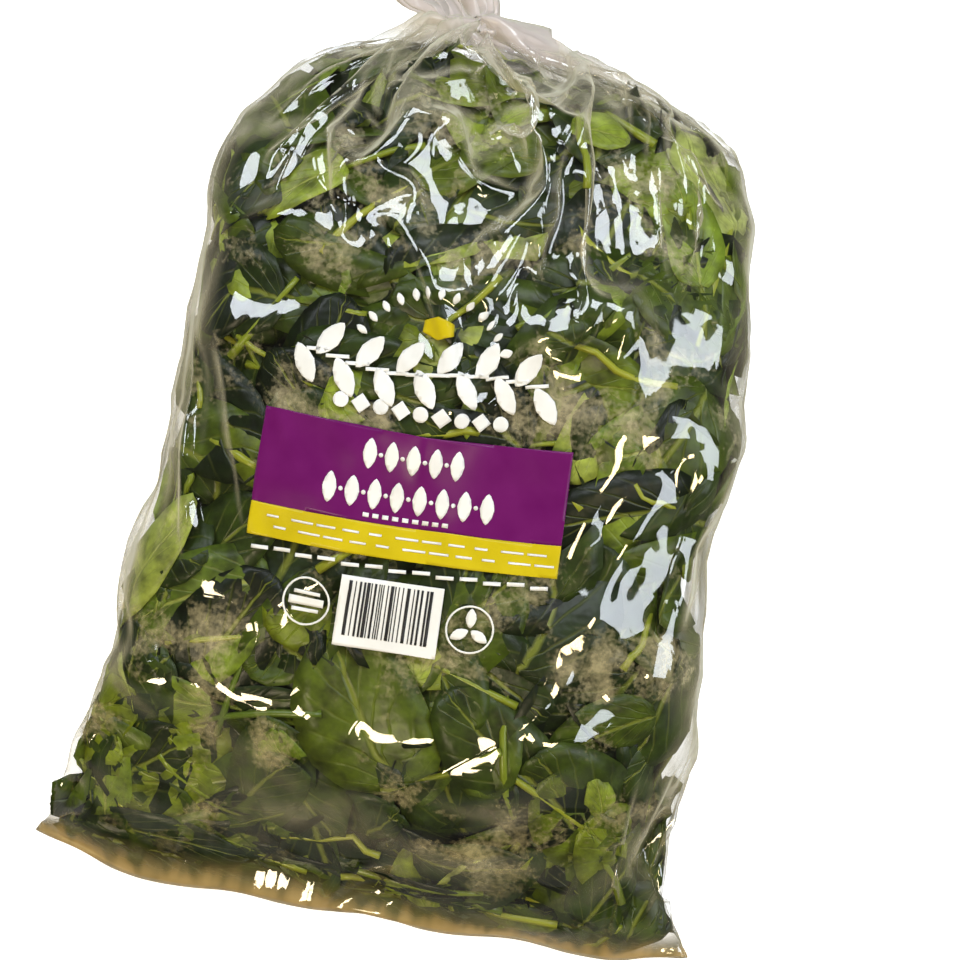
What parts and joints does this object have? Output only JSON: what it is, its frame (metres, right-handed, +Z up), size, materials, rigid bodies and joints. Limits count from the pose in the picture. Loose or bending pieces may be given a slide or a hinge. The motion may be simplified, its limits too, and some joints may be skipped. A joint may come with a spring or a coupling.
{
  "type": "bag of spinach",
  "caption": "Clear film tube bag filled with baby spinach leaves, lying on its back, with a straight heat seal at one end and a twisted neck with fanned film at the other.",
  "frame": {"origin": "middle of the bounding box, on the surface that the bag lies on", "axes": "+Z up out of the printed side, +Y along the bag from its bottom seal to its neck, +X across it to the right"},
  "size_m": [0.254, 0.3806, 0.0847],
  "materials": {
    "clear_film": "thin clear glossy film, slightly hazy, creased",
    "spinach_leaf": "fresh dark green leaves with pale midribs, satin",
    "young_leaf": "light green leaves, satin",
    "leaf_stalk": "yellow-green stalks, satin",
    "purple_print": "purple ink on film",
    "yellow_print": "mustard yellow ink on film",
    "white_print": "white ink on film",
    "black_print": "black ink on film"
  },
  "bodies": {
    "root": {"filled_bag": "clear_film"}
  },
  "joints": []
}
